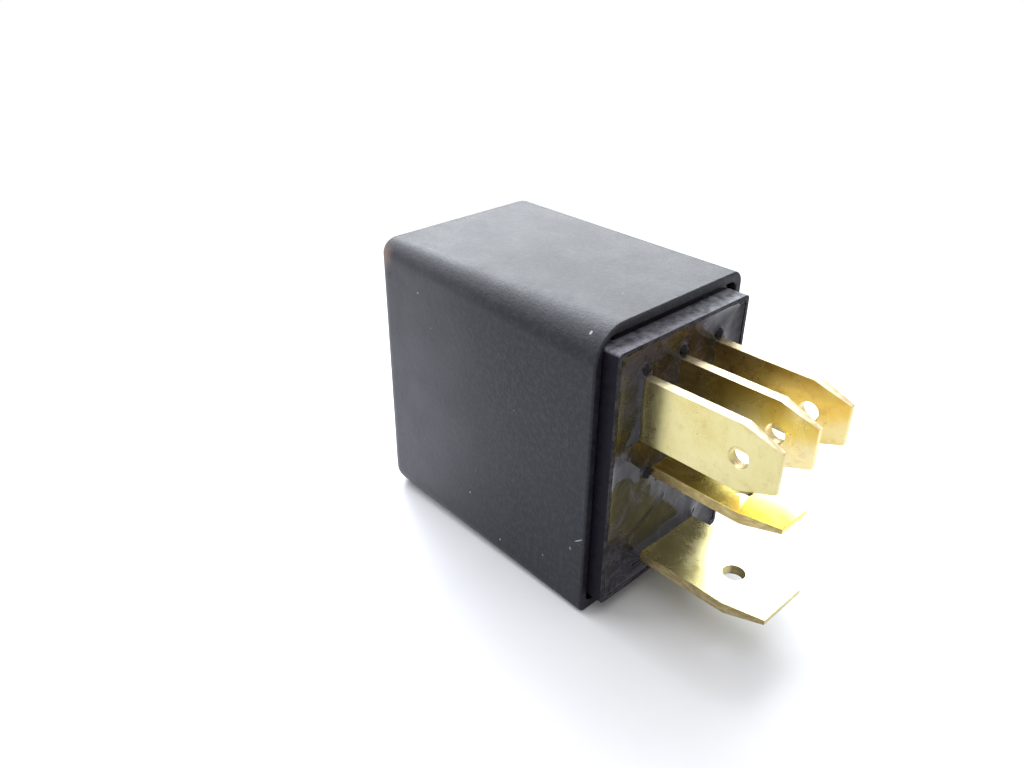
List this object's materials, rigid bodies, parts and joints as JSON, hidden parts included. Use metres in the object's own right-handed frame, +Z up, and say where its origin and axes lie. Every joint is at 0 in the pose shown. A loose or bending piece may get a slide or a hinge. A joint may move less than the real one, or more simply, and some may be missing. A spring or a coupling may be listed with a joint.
{
  "type": "automotive relay",
  "caption": "Compact sealed automotive relay with a rounded black case and flat brass blade terminals, with a hinged armature and changeover contacts inside.",
  "frame": {"origin": "middle of the relay's footprint, on the surface that it lies on", "axes": "+X along the relay to the blade tips, Y across its thickness, +Z up across its broad side"},
  "size_m": [0.0346, 0.0156, 0.023],
  "materials": {
    "cover_moulding": "fine matt grain, dusty, lightly scuffed",
    "base_moulding": "matt, rough on the side faces",
    "sealing_resin": "glossy poured resin",
    "terminal_brass": "bright punched strip with sheared edges",
    "bobbin_moulding": "natural glass-filled moulding",
    "enamelled_wire": null,
    "plated_iron": "zinc plated",
    "rivet_steel": "plain, upset",
    "spring_bronze": "cold rolled bronze strip",
    "contact_silver": "satin silver",
    "resistor_lacquer": "lacquered ceramic body",
    "tinned_wire": "tinned copper"
  },
  "bodies": {
    "housing": {"cover": "cover_moulding", "base": "base_moulding", "epoxy_seal": "sealing_resin", "terminal_30": "terminal_brass", "terminal_85": "terminal_brass", "terminal_86": "terminal_brass", "terminal_87": "terminal_brass", "terminal_87a": "terminal_brass", "bobbin": "bobbin_moulding", "coil_winding": "enamelled_wire", "coil_leads": "enamelled_wire", "core": "plated_iron", "yoke": "plated_iron", "yoke_rivets": "rivet_steel", "terminal_rivets": "rivet_steel", "normally_open_contact": "contact_silver", "normally_closed_contact": "contact_silver", "suppression_resistor": "resistor_lacquer", "resistor_leads": "tinned_wire"},
    "armature_group": {"armature": "plated_iron", "armature_rivets": "rivet_steel", "contact_spring": "spring_bronze", "moving_contact": "contact_silver"}
  },
  "joints": [
    {"name": "armature_hinge", "type": "hinge", "parent": "housing", "child": "armature_group", "pos_m": [-0.012, 0, 0.0024], "axis": [0, 1, 0], "range_deg": [0, 2], "stiffness_Nm_per_rad": 0.006, "springref_deg": -20.05, "deforming": ["contact_spring"]}
  ]
}
